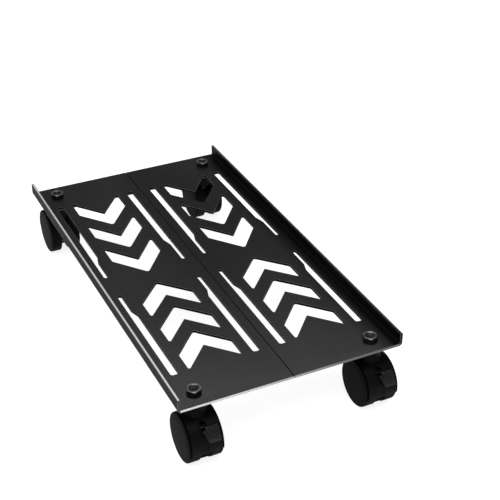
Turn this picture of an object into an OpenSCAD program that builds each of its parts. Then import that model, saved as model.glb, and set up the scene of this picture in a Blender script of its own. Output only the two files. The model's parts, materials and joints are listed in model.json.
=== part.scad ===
// Rolling stand for a desktop computer tower.
// A perforated sheet-steel deck in two mirrored halves, with an upturned
// flange along each long side, rides on four hooded twin-wheel casters.
// Each caster has a threaded stem that passes through a cross brace and the
// deck and is held by a hex nut on top. The two front casters have a brake.
// Units are millimetres. Origin: on the floor, under the centre of the deck.
// +X is the right side, -Y is the front, +Z is up.

/* [Deck] */
// Overall width across the outer faces of the two side flanges
deck_width = 270; // [262:1:290]
// Overall length, front edge to rear edge
deck_length = 508; // [500:1:540]
// Gauge of the sheet
sheet = 3.2; // [2:0.1:3.6]
// Height of the side flanges above the deck's top face
flange_rise = 13.6; // [8:0.1:25]
// Inside radius of the flange bend
bend_radius = 1; // [0.5:0.1:2]
// Gap between the two deck halves along the centre line
seam_gap = 0.8; // [0.4:0.1:1.6]
// Height of the deck's top face above the floor
deck_top = 82; // [80:0.5:86]

/* [Cut-outs] */
// Distance from the centre line to the middle of a column of chevrons
chevron_x = 64.8; // [62:0.1:68]
// Half the width of a chevron
chevron_half = 32; // [26:0.5:36]
// Rear field: Y of the first outer point
rear_first = 3.3; // [2:0.1:8]
// Rear field: distance from one chevron to the next
rear_pitch = 62.2; // [58:0.1:64]
// Rear field: length of a chevron's stroke along Y
rear_stroke = 34; // [24:0.5:36]
// Rear field: rise of the arms per unit of width
rear_slope = 1.26; // [1:0.01:1.3]
// Front field: Y of the first outer point, as a positive distance
front_first = 22; // [18:0.1:24]
// Front field: distance from one chevron to the next
front_pitch = 54.4; // [50:0.1:56]
// Front field: length of a chevron's stroke along Y
front_stroke = 30; // [22:0.5:32]
// Front field: rise of the arms per unit of width
front_slope = 1.09; // [0.9:0.01:1.15]
// Width of the wide run of a slot
slot_wide = 8.6; // [7:0.1:10]
// Width of the narrow run of a slot
slot_narrow = 4.8; // [4:0.1:6]
// Distance from the centre line to the straight side of the inner slots
slot_inner_x = 12; // [10:0.1:13]
// Distance from the centre line to the straight side of the outer slots
slot_outer_x = 118.2; // [117:0.1:120]
// Rear slots: Y of the narrow end
slot_rear_in = 12.2; // [10:0.1:20]
// Rear slots: Y of the wide end
slot_rear_out = 199.6; // [190:0.1:205]
// Front slots: Y of the narrow end, as a positive distance
slot_front_in = 30.6; // [26:0.1:36]
// Front slots: Y of the wide end, as a positive distance
slot_front_out = 196.5; // [190:0.1:202]

/* [Stem fixings] */
// Distance of a stem from the centre line
stem_x = 107; // [105:0.5:109]
// Distance of a stem from the middle of the deck's length
stem_y = 231; // [228:0.5:234]
// Nut size across flats
nut_flats = 16; // [15:0.5:17]
// Nut height
nut_height = 5; // [4:0.1:8.4]
// Diameter of the stem's threaded end
stud_d = 10; // [8:0.5:10]
// Diameter of the stem's smooth shank inside the caster
shank_d = 9; // [8:0.1:9]

/* [Cross braces] */
// Width of a brace along Y
brace_width = 34; // [30:1:36]
// Gauge of a brace
brace_sheet = 2.5; // [2:0.1:2.5]
// Depth of the stiffening lip under a brace
brace_lip = 8; // [4:0.5:9]

/* [Casters] */
// Wheel diameter
wheel_d = 57; // [54:0.5:58]
// Width across the two wheels' outer faces at the rim
caster_width = 39.4; // [38:0.2:42]
// Distance from the stem's axis to the axle, along the floor
trail = 4; // [3:0.5:5]
// Axle diameter
axle_d = 6; // [5:0.5:7]
// Thickness of the caster's middle web
web = 11.2; // [11:0.1:11.6]
// Radial thickness of the hood
hood_wall = 1.5; // [1.2:0.1:1.8]
// Angle of the hood's lower edge below the axle
hood_low = 9; // [5:1:20]
// Angle from the front horizontal, over the top, to the hood's rear edge
hood_rear = 114; // [106:1:125]

/* [Brake] */
// Width of the brake pedal to the right of the caster's middle
pedal_reach = 15; // [13:0.5:16]
// Thickness of the pedal's plate
pedal_wall = 2.1; // [1.6:0.1:2.4]
// Diameter of the hinge pin
pin_d = 2.4; // [2:0.1:2.6]

/* [Hidden] */
$fn = 72;
eps = 0.5;
half_w = deck_width / 2;
half_l = deck_length / 2;
deck_low = deck_top - sheet;
brace_low = deck_low - brace_sheet;
collar_h = 4;
collar_low = brace_low - collar_h;
neck_top = collar_low - 0.5;
wheel_r = wheel_d / 2;
axle_z = wheel_r;
hood_in = wheel_r + 0.5;
hood_out = hood_in + hood_wall;
half_c = caster_width / 2;
hood_half = half_c - 0.3;
web_half = web / 2;
wheel_in = web_half + 0.35;
pin_r = 26.5;
pin_a = 50;
slot_half = 3.6;

// ---- rounding of a polygon's corners; each corner is [x, y, radius] ----
function dir(v) = v / norm(v);
function wrap(a) = a > 180 ? a - 360 : a < -180 ? a + 360 : a;
function corner(p, c, n, r, k) =
  let(a = dir(p - c), b = dir(n - c),
      h = acos(max(-1, min(1, a * b))) / 2,
      m = c + dir(a + b) * (r / sin(h)),
      s = c + a * (r / tan(h)) - m,
      e = c + b * (r / tan(h)) - m,
      a0 = atan2(s[1], s[0]),
      d = wrap(atan2(e[1], e[0]) - a0))
  [for (i = [0:k]) m + r * [cos(a0 + d * i / k), sin(a0 + d * i / k)]];
function xy(v) = [v[0], v[1]];
function rounded(v, k = 5) =
  let(n = len(v))
  [for (i = [0:n - 1])
    each corner(xy(v[(i + n - 1) % n]), xy(v[i]), xy(v[(i + 1) % n]), v[i][2], k)];

// ---- deck ----
// One chevron. Its outer point is at y0 and its arms run towards sgn * Y.
module chevron(y0, stroke, slope, sgn) {
  a = chevron_half;
  q = slope * a;
  polygon(rounded([
    [chevron_x, y0, 2.5],
    [chevron_x + a, y0 + sgn * q, 3.5],
    [chevron_x + a, y0 + sgn * (q + stroke), 1.5],
    [chevron_x, y0 + sgn * stroke, 0.8],
    [chevron_x - a, y0 + sgn * (q + stroke), 1.5],
    [chevron_x - a, y0 + sgn * q, 3.5]
  ]));
}

// One stepped slot. It is straight at x0 and steps on the other side.
module stepped_slot(x0, side, y_in, y_out) {
  l = y_out - y_in;
  w = side * slot_wide;
  n = side * slot_narrow;
  polygon(rounded([
    [x0, y_in, slot_narrow * 0.48],
    [x0, y_out, 2.6],
    [x0 + w, y_out, 2.6],
    [x0 + w, y_in + 0.275 * l, 7],
    [x0 + n, y_in + 0.2 * l, 7],
    [x0 + n, y_in, slot_narrow * 0.48]
  ]));
}

module deck_cutouts() {
  for (i = [0:2]) {
    chevron(rear_first + i * rear_pitch, rear_stroke, rear_slope, 1);
    chevron(-front_first - i * front_pitch, front_stroke, front_slope, -1);
  }
  stepped_slot(slot_inner_x, 1, slot_rear_in, slot_rear_out);
  stepped_slot(slot_outer_x, -1, slot_rear_in, slot_rear_out);
  stepped_slot(slot_inner_x, 1, -slot_front_in, -slot_front_out);
  stepped_slot(slot_outer_x, -1, -slot_front_in, -slot_front_out);
}

module deck_half() {
  xc = half_w - sheet - bend_radius;
  zc = deck_top + bend_radius;
  difference() {
    union() {
      translate([seam_gap / 2, -half_l, deck_low])
        cube([xc - seam_gap / 2, deck_length, sheet]);
      translate([half_w - sheet, -half_l, zc])
        cube([sheet, deck_length, flange_rise - bend_radius]);
      intersection() {
        translate([xc, half_l, zc]) rotate([90, 0, 0])
          cylinder(r = sheet + bend_radius, h = deck_length);
        translate([xc, -half_l, deck_low])
          cube([sheet + bend_radius, deck_length, sheet + bend_radius]);
      }
    }
    translate([xc, half_l + eps, zc]) rotate([90, 0, 0])
      cylinder(r = bend_radius, h = deck_length + 2 * eps);
    translate([0, 0, deck_low - eps])
      linear_extrude(height = sheet + 2 * eps) deck_cutouts();
    for (s = [-1, 1]) translate([stem_x, s * stem_y, deck_low - eps])
      cylinder(d = stud_d + 0.4, h = sheet + 2 * eps);
  }
}

module right_deck() { color([0.05, 0.05, 0.055]) deck_half(); }
module left_deck() { color([0.05, 0.05, 0.055]) mirror([1, 0, 0]) deck_half(); }

// ---- cross braces ----
// Bar with a lip turned down along the edge that faces the middle of the deck.
module brace() {
  hw = brace_width / 2;
  bl = stem_x + 15;
  difference() {
    union() {
      translate([0, 0, brace_low]) linear_extrude(height = brace_sheet)
        polygon(rounded([[-bl, -hw, 6], [bl, -hw, 6], [bl, hw, 2], [-bl, hw, 2]]));
      translate([-bl + 6, hw - brace_sheet, brace_low - brace_lip])
        cube([2 * bl - 12, brace_sheet, brace_lip + 0.6 * brace_sheet]);
    }
    for (s = [-1, 1]) translate([s * stem_x, 0, brace_low - eps])
      cylinder(d = stud_d + 0.4, h = brace_sheet + 2 * eps);
  }
}

module front_brace() { color([0.05, 0.05, 0.055]) translate([0, -stem_y, 0]) brace(); }
module rear_brace() {
  color([0.05, 0.05, 0.055]) translate([0, stem_y, 0]) rotate([0, 0, 180]) brace();
}

// ---- nuts ----
// Hex nut with its upper corners turned off and a countersunk bore.
module stem_nut() {
  c = nut_flats / sqrt(3);
  difference() {
    intersection() {
      cylinder(r = c, h = nut_height, $fn = 6);
      union() {
        cylinder(r = c + 1, h = nut_height - 1.1);
        translate([0, 0, nut_height - 1.1 - 0.001])
          cylinder(r1 = c, r2 = nut_flats / 2 - 0.5, h = 1.1 + 0.001);
      }
    }
    translate([0, 0, -eps]) cylinder(d = stud_d + 0.04, h = nut_height + 2 * eps);
    translate([0, 0, nut_height - 0.7])
      cylinder(d1 = stud_d + 0.04, d2 = stud_d + 2.2, h = 0.7 + 0.001);
  }
}

module stem_nuts() {
  color([0.09, 0.09, 0.1])
    for (x = [-1, 1], y = [-1, 1])
      translate([x * stem_x, y * stem_y, deck_top]) rotate([0, 0, 12]) stem_nut();
}

// ---- caster parts, drawn with the stem on the Z axis and the hood to -Y ----
module stem_body() {
  c = 17 / sqrt(3);
  stud_top = deck_top + nut_height - 1.6;
  shank_low = axle_z + 16;
  difference() {
    union() {
      translate([0, 0, brace_low - 1]) cylinder(d = stud_d, h = stud_top - brace_low);
      translate([0, 0, stud_top - 1]) cylinder(d1 = stud_d, d2 = stud_d - 1.8, h = 1);
      intersection() {
        translate([0, 0, collar_low]) cylinder(r = c, h = collar_h, $fn = 6);
        translate([0, 0, collar_low]) union() {
          cylinder(r1 = 8.9, r2 = c, h = 0.8);
          translate([0, 0, 0.8]) cylinder(r = c, h = collar_h - 1.6);
          translate([0, 0, collar_h - 0.8]) cylinder(r1 = c, r2 = 8.9, h = 0.8);
        }
      }
      translate([0, 0, shank_low + 1]) cylinder(d = shank_d, h = collar_low - shank_low);
      translate([0, 0, shank_low]) cylinder(d1 = shank_d - 1.6, d2 = shank_d, h = 1);
    }
    translate([0, 0, stud_top - 1.6]) cylinder(d1 = 1.2, d2 = 4.4, h = 1.601);
  }
}

// A wedge of the caster's side view, from angle a to angle b, seen along X.
module wedge(a, b, half) {
  n = 8;
  translate([-half, 0, 0]) rotate([90, 0, 90]) linear_extrude(height = 2 * half)
    polygon(concat([[0, 0]],
      [for (i = [0:n]) 60 * [-cos(a + (b - a) * i / n), sin(a + (b - a) * i / n)]]));
}

module round_x(r, half) {
  translate([-half, 0, 0]) rotate([0, 90, 0]) cylinder(r = r, h = 2 * half, $fn = 120);
}

module housing_body(braked) {
  neck_low = axle_z + hood_in - 6;
  difference() {
    union() {
      // hood, with its side edges chamfered
      translate([0, -trail, axle_z]) intersection() {
        rotate([0, 90, 0]) rotate_extrude($fn = 120) polygon([
          [hood_in, -hood_half], [hood_out - 0.5, -hood_half],
          [hood_out, -hood_half + 0.5], [hood_out, hood_half - 0.5],
          [hood_out - 0.5, hood_half], [hood_in, hood_half]]);
        wedge(-hood_low, hood_rear, 25);
      }
      // web between the wheels
      translate([0, -trail, axle_z]) difference() {
        union() {
          round_x(18, web_half);
          intersection() {
            round_x(wheel_r - 1, web_half);
            wedge(-84, hood_rear, 25);
          }
          intersection() {
            round_x(hood_in + 0.4, web_half);
            wedge(-hood_low, hood_rear, 25);
          }
        }
        translate([-10, -40, -axle_z - 5]) cube([20, 80, 7]);
      }
      // neck around the stem, standing on the hood
      difference() {
        translate([0, 0, neck_low]) union() {
          cylinder(r = 12.5, h = neck_top - neck_low - 9);
          translate([0, 0, neck_top - neck_low - 9]) cylinder(r1 = 12.5, r2 = 9.6, h = 9);
        }
        translate([0, -trail, axle_z]) round_x(hood_in, 20);
      }
    }
    // socket for the shank
    translate([0, 0, axle_z + 15.2]) cylinder(d = shank_d + 0.1, h = 40);
    // axle hole
    translate([0, -trail, axle_z]) round_x(axle_d / 2 + 0.02, 12);
    if (braked) translate([0, -trail, axle_z]) {
      // window for the lever, and the holes for its pin
      intersection() {
        difference() {
          round_x(hood_out + 3, slot_half);
          round_x(20.5, slot_half + 1);
        }
        wedge(40, 63, 25);
      }
      rotate([-pin_a, 0, 0]) translate([0, -pin_r, 0])
        round_x(pin_d / 2 + 0.02, web_half + 1);
    }
  }
}

module axle_body() {
  translate([0, -trail, axle_z]) {
    round_x(axle_d / 2, 15.4);
    for (s = [0, 180]) rotate([0, 0, s]) translate([15.4, 0, 0]) rotate([0, 90, 0])
      cylinder(r1 = axle_d / 2, r2 = axle_d / 2 - 0.7, h = 0.7);
  }
}

// One-piece moulded wheel on the +X side: closed outer face, blind hub bore.
module wheel_body() {
  r = wheel_r;
  o = half_c;
  i = wheel_in;
  translate([0, -trail, axle_z]) rotate([0, 90, 0]) rotate_extrude($fn = 120) polygon([
    [axle_d / 2 + 0.05, i], [6.2, i], [7, o - 4], [r - 4.2, o - 3], [r - 3.2, o - 4],
    [r - 3, i + 0.4], [r - 2.6, i], [r - 0.4, i], [r, i + 0.4],
    [r, o - 1.6], [r - 0.25, o - 0.8], [r - 0.8, o - 0.25], [r - 1.6, o],
    [r - 4, o + 0.05], [r * 0.62, o + 0.4], [r * 0.3, o + 0.6], [0, o + 0.65],
    [0, 16.5], [axle_d / 2 + 0.05, 16.5]
  ]);
}

module pin_body() {
  translate([0, -trail, axle_z]) rotate([-pin_a, 0, 0]) translate([0, -pin_r, 0])
    round_x(pin_d / 2, web_half - 0.2);
}

// Brake lever: a barrel on the pin, a short arm, and a ribbed plate that lies
// over the right half of the hood.
module pedal_body() {
  r0 = hood_out + 0.9;
  r1 = r0 + pedal_wall;
  x0 = 0.6;
  x1 = slot_half - 0.3;
  translate([0, -trail, axle_z]) difference() {
    union() {
      // plate
      difference() {
        intersection() {
          rotate([0, 90, 0]) rotate_extrude($fn = 120) polygon([
            [r0, -3.4], [r1 - 0.5, -3.4], [r1, -2.9], [r1, pedal_reach - 0.6],
            [r1 - 0.6, pedal_reach], [r0, pedal_reach]]);
          wedge(16, 48, 25);
        }
        // step beside the window
        intersection() {
          translate([-10, -50, 0]) cube([11.2, 60, 60]);
          wedge(42, 60, 25);
        }
        // slanted left edge
        translate([-3.4, -50, 21.4]) rotate([0, -22.5, 0]) translate([-20, 0, -40])
          cube([20, 60, 80]);
      }
      // ribs
      for (a = [20:5:40]) rotate([-a, 0, 0]) translate([4.6, -r1 - 0.6, -0.55])
        cube([pedal_reach - 6.2, 1.1, 1.1]);
      // arm and barrel
      rotate([-46, 0, 0]) translate([x0, -r1 + 0.4, -1.7]) cube([x1 - x0, r1 - pin_r - 0.4, 3.4]);
      rotate([-pin_a, 0, 0]) translate([x0, -pin_r, 0]) rotate([0, 90, 0])
        cylinder(r = pin_d / 2 + 1.1, h = x1 - x0);
    }
    rotate([-pin_a, 0, 0]) translate([0, -pin_r, 0]) round_x(pin_d / 2 + 0.05, 9);
  }
}

// ---- placing a caster: corner sx, sy; rear casters are turned to the rear ----
module at_corner(sx, sy) {
  translate([sx * stem_x, sy * stem_y, 0]) rotate([0, 0, sy > 0 ? 180 : 0]) children();
}

// The wheel on the side away from the deck's centre line, or towards it.
module placed_wheel(sx, sy, outer) {
  s = (outer ? 1 : -1) * sx * (sy > 0 ? -1 : 1);
  at_corner(sx, sy) if (s > 0) wheel_body(); else mirror([1, 0, 0]) wheel_body();
}

module c_steel() { color([0.35, 0.35, 0.36]) children(); }
module c_hood() { color([0.04, 0.04, 0.045]) children(); }
module c_wheel() { color([0.06, 0.06, 0.065]) children(); }

module fl_stem() { c_steel() at_corner(-1, -1) stem_body(); }
module fl_housing() { c_hood() at_corner(-1, -1) housing_body(true); }
module fl_axle() { c_steel() at_corner(-1, -1) axle_body(); }
module fl_wheel_outer() { c_wheel() placed_wheel(-1, -1, true); }
module fl_wheel_inner() { c_wheel() placed_wheel(-1, -1, false); }
module fl_brake_pedal() { c_hood() at_corner(-1, -1) pedal_body(); }
module fl_brake_pin() { c_steel() at_corner(-1, -1) pin_body(); }

module fr_stem() { c_steel() at_corner(1, -1) stem_body(); }
module fr_housing() { c_hood() at_corner(1, -1) housing_body(true); }
module fr_axle() { c_steel() at_corner(1, -1) axle_body(); }
module fr_wheel_outer() { c_wheel() placed_wheel(1, -1, true); }
module fr_wheel_inner() { c_wheel() placed_wheel(1, -1, false); }
module fr_brake_pedal() { c_hood() at_corner(1, -1) pedal_body(); }
module fr_brake_pin() { c_steel() at_corner(1, -1) pin_body(); }

module rl_stem() { c_steel() at_corner(-1, 1) stem_body(); }
module rl_housing() { c_hood() at_corner(-1, 1) housing_body(false); }
module rl_axle() { c_steel() at_corner(-1, 1) axle_body(); }
module rl_wheel_outer() { c_wheel() placed_wheel(-1, 1, true); }
module rl_wheel_inner() { c_wheel() placed_wheel(-1, 1, false); }

module rr_stem() { c_steel() at_corner(1, 1) stem_body(); }
module rr_housing() { c_hood() at_corner(1, 1) housing_body(false); }
module rr_axle() { c_steel() at_corner(1, 1) axle_body(); }
module rr_wheel_outer() { c_wheel() placed_wheel(1, 1, true); }
module rr_wheel_inner() { c_wheel() placed_wheel(1, 1, false); }

left_deck();
right_deck();
front_brace();
rear_brace();
stem_nuts();
fl_stem();
fl_housing();
fl_axle();
fl_wheel_outer();
fl_wheel_inner();
fl_brake_pedal();
fl_brake_pin();
fr_stem();
fr_housing();
fr_axle();
fr_wheel_outer();
fr_wheel_inner();
fr_brake_pedal();
fr_brake_pin();
rl_stem();
rl_housing();
rl_axle();
rl_wheel_outer();
rl_wheel_inner();
rr_stem();
rr_housing();
rr_axle();
rr_wheel_outer();
rr_wheel_inner();
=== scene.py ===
"""Looks for the rolling computer tower stand. Metres, same frame as the CAD model."""
import json
import math

import bmesh
import bpy
from mathutils import Euler, Matrix, Vector


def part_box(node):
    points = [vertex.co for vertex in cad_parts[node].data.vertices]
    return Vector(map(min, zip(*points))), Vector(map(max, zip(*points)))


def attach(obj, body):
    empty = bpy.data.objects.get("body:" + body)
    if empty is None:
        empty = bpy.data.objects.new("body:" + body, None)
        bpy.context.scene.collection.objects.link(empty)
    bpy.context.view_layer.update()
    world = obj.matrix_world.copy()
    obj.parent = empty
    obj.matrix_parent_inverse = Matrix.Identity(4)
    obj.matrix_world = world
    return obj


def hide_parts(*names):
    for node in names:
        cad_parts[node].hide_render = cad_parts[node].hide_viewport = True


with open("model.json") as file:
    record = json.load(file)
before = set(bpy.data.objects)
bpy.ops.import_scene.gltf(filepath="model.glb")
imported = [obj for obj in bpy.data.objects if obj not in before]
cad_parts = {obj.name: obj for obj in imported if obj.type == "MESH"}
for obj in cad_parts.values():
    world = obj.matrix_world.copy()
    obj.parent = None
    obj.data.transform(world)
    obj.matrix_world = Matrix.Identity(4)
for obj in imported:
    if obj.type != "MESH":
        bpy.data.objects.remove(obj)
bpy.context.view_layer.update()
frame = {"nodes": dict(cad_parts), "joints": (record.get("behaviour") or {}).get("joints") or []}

MM = 0.001
TAU = 2 * math.pi
NODES = frame["nodes"]
JOINTS = {j["name"]: j for j in frame["joints"]}
scene = bpy.context.scene

# ------------------------------------------------------------------ camera
cam_data = bpy.data.cameras.new("camera")
cam_data.sensor_width = 36.0
cam_data.lens = 82.83
cam_data.clip_start = 0.02
cam_data.clip_end = 50.0
cam_data.dof.use_dof = False
cam = bpy.data.objects.new("camera", cam_data)
cam.location = (-0.46666, -1.10346, 0.84583)
cam.rotation_euler = Euler(
    (math.radians(57.96612), math.radians(-0.13287), math.radians(-25.86862)), "XYZ"
)
scene.collection.objects.link(cam)
scene.camera = cam


# ------------------------------------------------------------------ materials
class Mat:
    """A small helper that builds a node material around one Principled shader."""

    def __init__(self, name):
        self.m = bpy.data.materials.new(name)
        self.m.use_nodes = True
        self.t = self.m.node_tree
        self.t.nodes.clear()
        self.out = self.t.nodes.new("ShaderNodeOutputMaterial")
        self.p = self.t.nodes.new("ShaderNodeBsdfPrincipled")
        self.t.links.new(self.p.outputs[0], self.out.inputs[0])
        self.c = self.t.nodes.new("ShaderNodeTexCoord").outputs["Object"]

    def node(self, kind, **kw):
        n = self.t.nodes.new(kind)
        for k, v in kw.items():
            setattr(n, k, v)
        return n

    def put(self, value, socket):
        if isinstance(value, bpy.types.NodeSocket):
            self.t.links.new(value, socket)
        elif isinstance(value, (tuple, list)) and len(value) == 3 and socket.type == "RGBA":
            socket.default_value = (*value, 1.0)
        else:
            socket.default_value = value

    def set(self, name, value):
        self.put(value, self.p.inputs[name])

    def noise(self, scale, detail=3.0, rough=0.55, stretch=None, seed=0.0, coord=None):
        n = self.node("ShaderNodeTexNoise", noise_dimensions="3D")
        n.inputs["Scale"].default_value = scale
        n.inputs["Detail"].default_value = detail
        n.inputs["Roughness"].default_value = rough
        v = coord or self.c
        if stretch or seed:
            mp = self.node("ShaderNodeMapping")
            mp.inputs["Scale"].default_value = stretch or (1, 1, 1)
            mp.inputs["Location"].default_value = (seed, seed * 0.7, seed * 1.3)
            self.t.links.new(v, mp.inputs["Vector"])
            v = mp.outputs[0]
        self.t.links.new(v, n.inputs["Vector"])
        return n.outputs["Fac"]

    def cells(self, scale, feature="F1", out="Distance", randomness=1.0):
        n = self.node("ShaderNodeTexVoronoi", feature=feature)
        n.inputs["Scale"].default_value = scale
        n.inputs["Randomness"].default_value = randomness
        self.t.links.new(self.c, n.inputs["Vector"])
        return n.outputs[out]

    def remap(self, v, a, b, c, d, smooth=False):
        n = self.node("ShaderNodeMapRange", clamp=True)
        if smooth:
            n.interpolation_type = "SMOOTHSTEP"
        for k, x in zip(("From Min", "From Max", "To Min", "To Max"), (a, b, c, d)):
            n.inputs[k].default_value = x
        self.put(v, n.inputs["Value"])
        return n.outputs[0]

    def math(self, op, a, b=0.0, c=None):
        n = self.node("ShaderNodeMath", operation=op)
        self.put(a, n.inputs[0])
        self.put(b, n.inputs[1])
        if c is not None:
            self.put(c, n.inputs[2])
        return n.outputs[0]

    def mix(self, fac, a, b):
        n = self.node("ShaderNodeMix", data_type="RGBA")
        self.put(fac, n.inputs[0])
        for v, s in ((a, n.inputs[6]), (b, n.inputs[7])):
            if isinstance(v, tuple):
                s.default_value = (*v, 1.0)
            else:
                self.t.links.new(v, s)
        return n.outputs[2]

    def axis(self, k, coord=None):
        n = self.node("ShaderNodeSeparateXYZ")
        self.t.links.new(coord or self.c, n.inputs[0])
        return n.outputs[k]

    def bump(self, layers):
        """layers: (height, distance in metres, strength), applied one after another."""
        prev = None
        for h, dist, strength in layers:
            b = self.node("ShaderNodeBump")
            b.inputs["Strength"].default_value = strength
            b.inputs["Distance"].default_value = dist
            self.t.links.new(h, b.inputs["Height"])
            if prev is not None:
                self.t.links.new(prev, b.inputs["Normal"])
            prev = b.outputs[0]
        self.t.links.new(prev, self.p.inputs["Normal"])


def powder_coat(name, base, light, rough, spec, worn=0.0, shade=False):
    """Black powder coat: orange peel, fine sand texture, faint dust and handling marks. With shade set, painted shade
    dulls its reflection towards the right-hand bend.
    """
    m = Mat(name)
    blotch = m.noise(14, 4, 0.6)
    fine = m.noise(900, 3, 0.6)
    speck = m.noise(3200, 2, 0.5)
    col = m.mix(m.remap(blotch, 0.35, 0.7, 0.0, 1.0), base, light)
    dust = m.remap(m.noise(260, 5, 0.7, seed=3.1), 0.62, 0.78, 0.0, 0.10)
    col = m.mix(dust, col, (0.16, 0.16, 0.165))
    if worn:
        rub = m.remap(m.noise(420, 5, 0.75, seed=7.7), 0.50, 0.66, 0.0, worn)
        col = m.mix(rub, col, (0.30, 0.30, 0.31))
    m.set("Base Color", col)
    smear = m.remap(m.noise(9, 3, 0.5, stretch=(1, 0.25, 1), seed=1.3), 0.35, 0.7, -0.035, 0.045)
    m.set("Roughness", m.math("ADD", m.remap(fine, 0.3, 0.7, rough - 0.03, rough + 0.04), smear))
    if shade:  # painted shade: less reflection along the right-hand bend, standing in for the flange's dark reflection
        m.set("Specular IOR Level", m.remap(m.axis(0), 0.098, 0.128, spec, 0.09, smooth=True))
    else:
        m.set("Specular IOR Level", spec)
    m.bump([(m.noise(520, 2, 0.5, seed=2.0), 0.00005, 0.22), (speck, 0.000020, 0.30)])
    return m.m


def moulded(name, base, light, rough, spec, scuff=0.0, lay=None):
    """Moulded black nylon: spark-eroded grain, faint flow marks and light scuffs."""
    m = Mat(name)
    flow = m.noise(60, 3, 0.5, stretch=(1, 0.5, 1), seed=4.0)
    col = m.mix(m.remap(flow, 0.3, 0.75, 0.0, 1.0), base, light)
    if scuff:
        marks = m.remap(m.noise(900, 6, 0.8, stretch=lay or (1, 0.12, 0.12), seed=9.0), 0.56, 0.74, 0.0, scuff)
        col = m.mix(marks, col, (0.11, 0.11, 0.108))
        m.set("Roughness", m.math("ADD", m.remap(m.noise(700, 3, 0.6), 0.3, 0.7, rough - 0.04, rough + 0.05), m.math("MULTIPLY", marks, 0.25)))
    else:
        m.set("Roughness", m.remap(m.noise(700, 3, 0.6), 0.3, 0.7, rough - 0.04, rough + 0.05))
    m.set("Base Color", col)
    m.set("Specular IOR Level", spec)
    grain = m.cells(1700, out="Distance")
    m.bump([(grain, 0.000030, 0.35), (m.noise(2600, 2, 0.5, seed=5.0), 0.000018, 0.30)])
    return m.m


def steel(name, base, dark, rough, metal=1.0, brush=None, spots=0.0):
    """Plated or oxidised steel: fine turned or brushed lines, cloudy tone, small tarnish spots."""
    m = Mat(name)
    cloud = m.noise(180, 4, 0.6)
    col = m.mix(m.remap(cloud, 0.35, 0.7, 0.0, 1.0), dark, base)
    if spots:
        s = m.remap(m.noise(1400, 4, 0.7, seed=6.0), 0.60, 0.72, 0.0, spots)
        col = m.mix(s, col, tuple(0.35 * x for x in dark))
    m.set("Base Color", col)
    m.set("Metallic", metal)
    lines = m.noise(1500, 3, 0.6, stretch=brush or (1, 1, 6))
    m.set("Roughness", m.remap(lines, 0.3, 0.7, rough - 0.06, rough + 0.08))
    m.bump([(lines, 0.000012, 0.30)])
    return m.m


def painted_highlight_edge(name):
    """Painted highlight along the sheet's edge: bright steel grey, partly metallic, with fine grinding lines.
    On the end faces the painted highlight fades to dark towards the right-hand end of the front."""
    m = Mat(name)
    x = m.axis(0)
    lines = m.noise(1100, 4, 0.65, stretch=(1, 1, 0.15))
    cloud = m.noise(90, 3, 0.6, seed=2.2)
    col = m.mix(m.remap(lines, 0.35, 0.65, 0.0, 1.0), (0.52, 0.52, 0.52), (0.66, 0.66, 0.66))
    col = m.mix(m.remap(cloud, 0.45, 0.75, 0.0, 0.25), col, (0.45, 0.45, 0.46))
    n = m.node("ShaderNodeNewGeometry")
    face = m.math("ABSOLUTE", m.axis(1, n.outputs["Normal"]))
    end = m.remap(face, 0.5, 0.8, 0.0, 1.0)
    # painted highlight fades out along x on the end faces, towards the right-hand end of the front
    highlight_fade = m.remap(m.math("ADD", x, m.remap(cloud, 0.3, 0.7, -0.01, 0.01)), -0.10, 0.10, 0.0, 0.95, smooth=True)
    k = m.math("MULTIPLY", end, highlight_fade)
    m.set("Base Color", m.mix(k, col, (0.05, 0.05, 0.052)))
    m.set("Metallic", m.remap(k, 0.0, 1.0, 0.35, 0.0))
    m.set("Roughness", m.remap(lines, 0.3, 0.7, 0.34, 0.5))
    m.bump([(lines, 0.000015, 0.3)])
    return m.m


# the deck coat carries painted shade along the right-hand bend
M_DECK = powder_coat("powder_coat_deck", (0.0022, 0.0022, 0.0024), (0.0032, 0.0032, 0.0034), 0.25, 0.46, shade=True)
# edge coat: light rub marks plus a painted highlight, its colour kept light so the rounded rims read bright
M_EDGE_WEAR_HIGHLIGHT = powder_coat("powder_coat_edge_wear_and_painted_highlight", (0.0600, 0.0600, 0.0615), (0.0900, 0.0900, 0.0930), 0.34, 0.55, worn=0.30)
# painted shade: a copy of the deck coat with almost no reflection, so the flange's faces read darker
M_DECK_SIDE_SHADE = powder_coat("powder_coat_side_painted_shade", (0.0026, 0.0026, 0.0028), (0.0040, 0.0040, 0.0042), 0.50, 0.025)
# dark coat: the centre seam, and painted shade on the cut-out walls and the right flange's top
M_SEAM_AND_SHADE = powder_coat("powder_coat_seam_and_painted_shade", (0.0012, 0.0012, 0.0013), (0.0020, 0.0020, 0.0021), 0.60, 0.02)
# painted highlight for the deck's end faces and the flange-top strips
M_EDGE_HIGHLIGHT = painted_highlight_edge("painted_highlight_sheet_edge")
M_BRACE = powder_coat("powder_coat_brace", (0.0050, 0.0050, 0.0053), (0.0070, 0.0070, 0.0074), 0.46, 0.40)
M_NUT = steel("black_oxide_steel", (0.030, 0.030, 0.033), (0.012, 0.012, 0.014), 0.34, 0.75, spots=0.3)
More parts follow.
